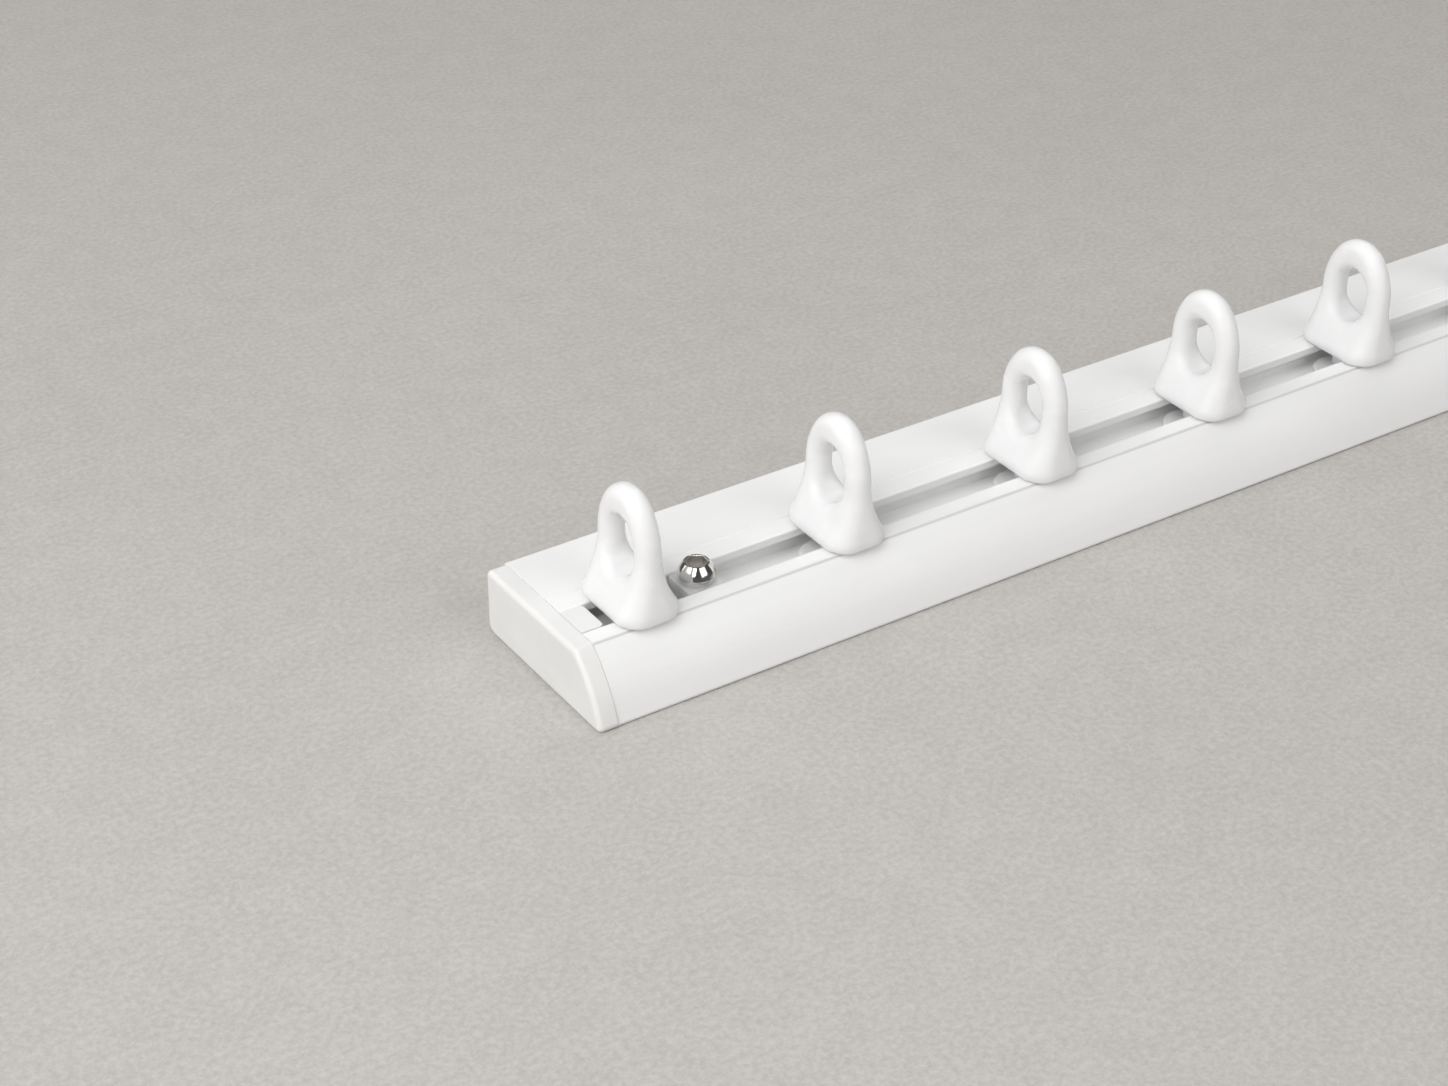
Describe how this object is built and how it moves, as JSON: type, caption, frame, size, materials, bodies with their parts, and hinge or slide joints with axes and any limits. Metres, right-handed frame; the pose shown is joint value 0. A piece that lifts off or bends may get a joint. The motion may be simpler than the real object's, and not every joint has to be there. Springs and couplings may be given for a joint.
{
  "type": "curtain track",
  "caption": "Slim white curtain track with a slotted top, curved front, end caps, sliding eye gliders and clamped end stops.",
  "frame": {"origin": "middle of the track's underside, under the middle of its length and of its width", "axes": "+X along the rail, -Y towards the curved front, +Z out of the slotted top, away from the mount face"},
  "size_m": [0.6072, 0.0352, 0.0339],
  "materials": {
    "rail": "white powder coat",
    "cap": "moulded off-white",
    "glider": "milky moulded nylon",
    "stop": "grey translucent moulding",
    "screw": "bright plating"
  },
  "bodies": {
    "track": {"rail": "rail", "end_cap_left": "cap", "end_cap_right": "cap", "stop_block_left": "stop", "stop_block_right": "stop", "stop_screw_left": "screw", "stop_screw_right": "screw"},
    "glider_01": {"glider_01": "glider"},
    "glider_02": {"glider_02": "glider"},
    "glider_03": {"glider_03": "glider"},
    "glider_04": {"glider_04": "glider"},
    "glider_05": {"glider_05": "glider"},
    "glider_06": {"glider_06": "glider"},
    "glider_07": {"glider_07": "glider"},
    "glider_08": {"glider_08": "glider"},
    "glider_09": {"glider_09": "glider"},
    "glider_10": {"glider_10": "glider"},
    "glider_11": {"glider_11": "glider"},
    "glider_12": {"glider_12": "glider"},
    "glider_13": {"glider_13": "glider"},
    "glider_14": {"glider_14": "glider"},
    "glider_15": {"glider_15": "glider"}
  },
  "joints": [
    {"name": "glider_01_slide", "type": "slide", "parent": "track", "child": "glider_01", "axis": [1, 0, 0], "range_m": [0, 0.00265]},
    {"name": "glider_02_slide", "type": "slide", "parent": "track", "child": "glider_02", "axis": [1, 0, 0], "range_m": [-0.01745, 0.0141]},
    {"name": "glider_03_slide", "type": "slide", "parent": "track", "child": "glider_03", "axis": [1, 0, 0], "range_m": [-0.0141, 0.0129]},
    {"name": "glider_04_slide", "type": "slide", "parent": "track", "child": "glider_04", "axis": [1, 0, 0], "range_m": [-0.0129, 0.01195]},
    {"name": "glider_05_slide", "type": "slide", "parent": "track", "child": "glider_05", "axis": [1, 0, 0], "range_m": [-0.01195, 0.013]},
    {"name": "glider_06_slide", "type": "slide", "parent": "track", "child": "glider_06", "axis": [1, 0, 0], "range_m": [-0.013, 0.013]},
    {"name": "glider_07_slide", "type": "slide", "parent": "track", "child": "glider_07", "axis": [1, 0, 0], "range_m": [-0.013, 0.013]},
    {"name": "glider_08_slide", "type": "slide", "parent": "track", "child": "glider_08", "axis": [1, 0, 0], "range_m": [-0.013, 0.013]},
    {"name": "glider_09_slide", "type": "slide", "parent": "track", "child": "glider_09", "axis": [1, 0, 0], "range_m": [-0.013, 0.013]},
    {"name": "glider_10_slide", "type": "slide", "parent": "track", "child": "glider_10", "axis": [1, 0, 0], "range_m": [-0.013, 0.013]},
    {"name": "glider_11_slide", "type": "slide", "parent": "track", "child": "glider_11", "axis": [1, 0, 0], "range_m": [-0.013, 0.013]},
    {"name": "glider_12_slide", "type": "slide", "parent": "track", "child": "glider_12", "axis": [1, 0, 0], "range_m": [-0.013, 0.013]},
    {"name": "glider_13_slide", "type": "slide", "parent": "track", "child": "glider_13", "axis": [1, 0, 0], "range_m": [-0.013, 0.013]},
    {"name": "glider_14_slide", "type": "slide", "parent": "track", "child": "glider_14", "axis": [1, 0, 0], "range_m": [-0.013, 0.04315]},
    {"name": "glider_15_slide", "type": "slide", "parent": "track", "child": "glider_15", "axis": [1, 0, 0], "range_m": [-0.00265, 0]}
  ]
}
